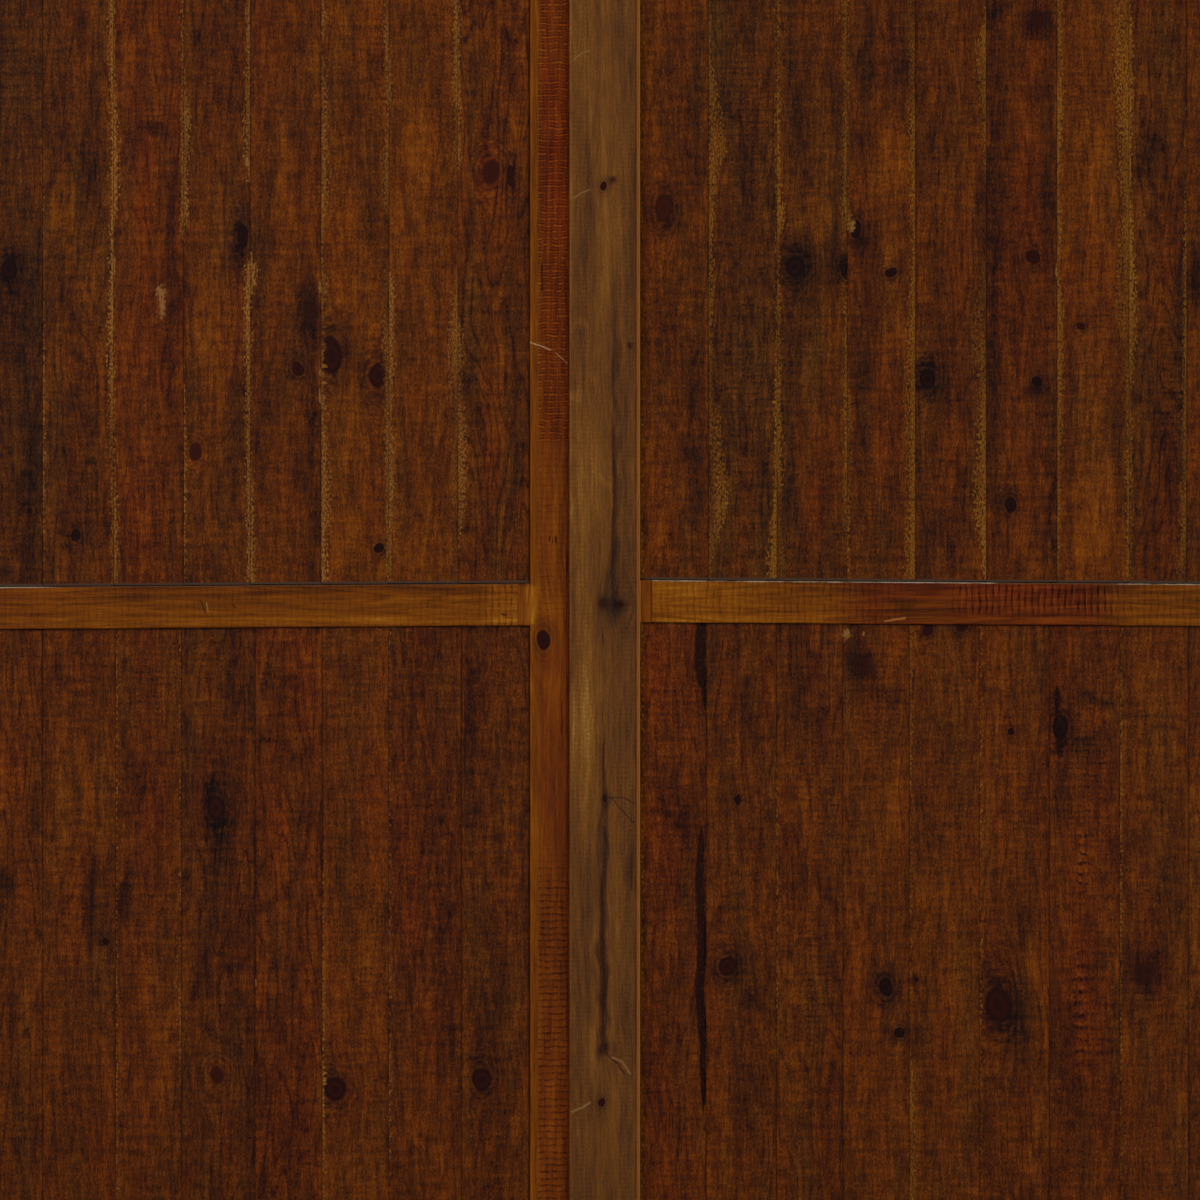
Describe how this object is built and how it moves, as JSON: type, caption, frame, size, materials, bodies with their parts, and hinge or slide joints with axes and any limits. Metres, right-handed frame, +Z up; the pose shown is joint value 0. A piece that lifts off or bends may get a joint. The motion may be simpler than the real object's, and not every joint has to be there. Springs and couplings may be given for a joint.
{
  "type": "barn door",
  "caption": "Pair of framed barn door leaves with boarded panels and a cover strip on the meeting line, hung on hook-and-band hinges in a timber frame, with sliding bolts behind.",
  "frame": {"origin": "centre of the doorway at floor level, in the plane of the front faces of the leaves and of the frame", "axes": "+X to the right as seen from the front, +Y from the front to the back, +Z up"},
  "size_m": [2.634, 0.1391, 2.509],
  "materials": {
    "stained_board": "dark brown stained pine board, sawn and worn, with knots",
    "stained_member": "orange brown stained pine, saw marks showing",
    "weathered_strip": "greyed brown pine strip, lightly stained",
    "frame_timber": "brown stained sawn timber",
    "brace_timber": "brown stained sawn timber",
    "hinge_iron": "black forged iron, dull",
    "bolt_plate_iron": "black painted steel plate",
    "bolt_steel": "bare steel bar, dulled"
  },
  "bodies": {
    "frame": {"left_jamb": "frame_timber", "right_jamb": "frame_timber", "head": "frame_timber", "hinge_hooks": "hinge_iron"},
    "left_leaf": {"left_meeting_stile": "stained_member", "left_hinge_stile": "stained_member", "left_top_rail": "stained_member", "left_mid_rail": "stained_member", "left_bottom_rail": "stained_member", "left_upper_board_1": "stained_board", "left_upper_board_2": "stained_board", "left_upper_board_3": "stained_board", "left_upper_board_4": "stained_board", "left_upper_board_5": "stained_board", "left_upper_board_6": "stained_board", "left_upper_board_7": "stained_board", "left_upper_board_8": "stained_board", "left_upper_board_9": "stained_board", "left_lower_board_1": "stained_board", "left_lower_board_2": "stained_board", "left_lower_board_3": "stained_board", "left_lower_board_4": "stained_board", "left_lower_board_5": "stained_board", "left_lower_board_6": "stained_board", "left_lower_board_7": "stained_board", "left_lower_board_8": "stained_board", "left_lower_board_9": "stained_board", "left_braces": "brace_timber", "left_hinge_straps": "hinge_iron", "left_bolt_plates": "bolt_plate_iron"},
    "right_leaf": {"right_meeting_stile": "stained_member", "right_hinge_stile": "stained_member", "right_top_rail": "stained_member", "right_mid_rail": "stained_member", "right_bottom_rail": "stained_member", "right_upper_board_1": "stained_board", "right_upper_board_2": "stained_board", "right_upper_board_3": "stained_board", "right_upper_board_4": "stained_board", "right_upper_board_5": "stained_board", "right_upper_board_6": "stained_board", "right_upper_board_7": "stained_board", "right_upper_board_8": "stained_board", "right_upper_board_9": "stained_board", "right_lower_board_1": "stained_board", "right_lower_board_2": "stained_board", "right_lower_board_3": "stained_board", "right_lower_board_4": "stained_board", "right_lower_board_5": "stained_board", "right_lower_board_6": "stained_board", "right_lower_board_7": "stained_board", "right_lower_board_8": "stained_board", "right_lower_board_9": "stained_board", "right_braces": "brace_timber", "right_hinge_straps": "hinge_iron", "right_bolt_plate": "bolt_plate_iron", "meeting_strip": "weathered_strip"},
    "left_top_bolt": {"left_top_bolt": "bolt_steel"},
    "left_bottom_bolt": {"left_bottom_bolt": "bolt_steel"},
    "right_bolt": {"right_bolt": "bolt_steel"}
  },
  "joints": [
    {"name": "right_leaf_swing", "type": "hinge", "parent": "frame", "child": "right_leaf", "pos_m": [1.22, -0.0148, 1.21], "axis": [0, 0, 1], "range_deg": [0, 170]},
    {"name": "left_leaf_swing", "type": "hinge", "parent": "frame", "child": "left_leaf", "pos_m": [-1.22, -0.0148, 1.21], "axis": [0, 0, -1], "range_deg": [0, 170]},
    {"name": "left_top_bolt_slide", "type": "slide", "parent": "left_leaf", "child": "left_top_bolt", "axis": [0, 0, 1], "range_m": [0, 0.06]},
    {"name": "left_bottom_bolt_slide", "type": "slide", "parent": "left_leaf", "child": "left_bottom_bolt", "axis": [0, 0, -1], "range_m": [0, 0.06]},
    {"name": "right_bolt_slide", "type": "slide", "parent": "right_leaf", "child": "right_bolt", "axis": [-1, 0, 0], "range_m": [0, 0.06]}
  ]
}
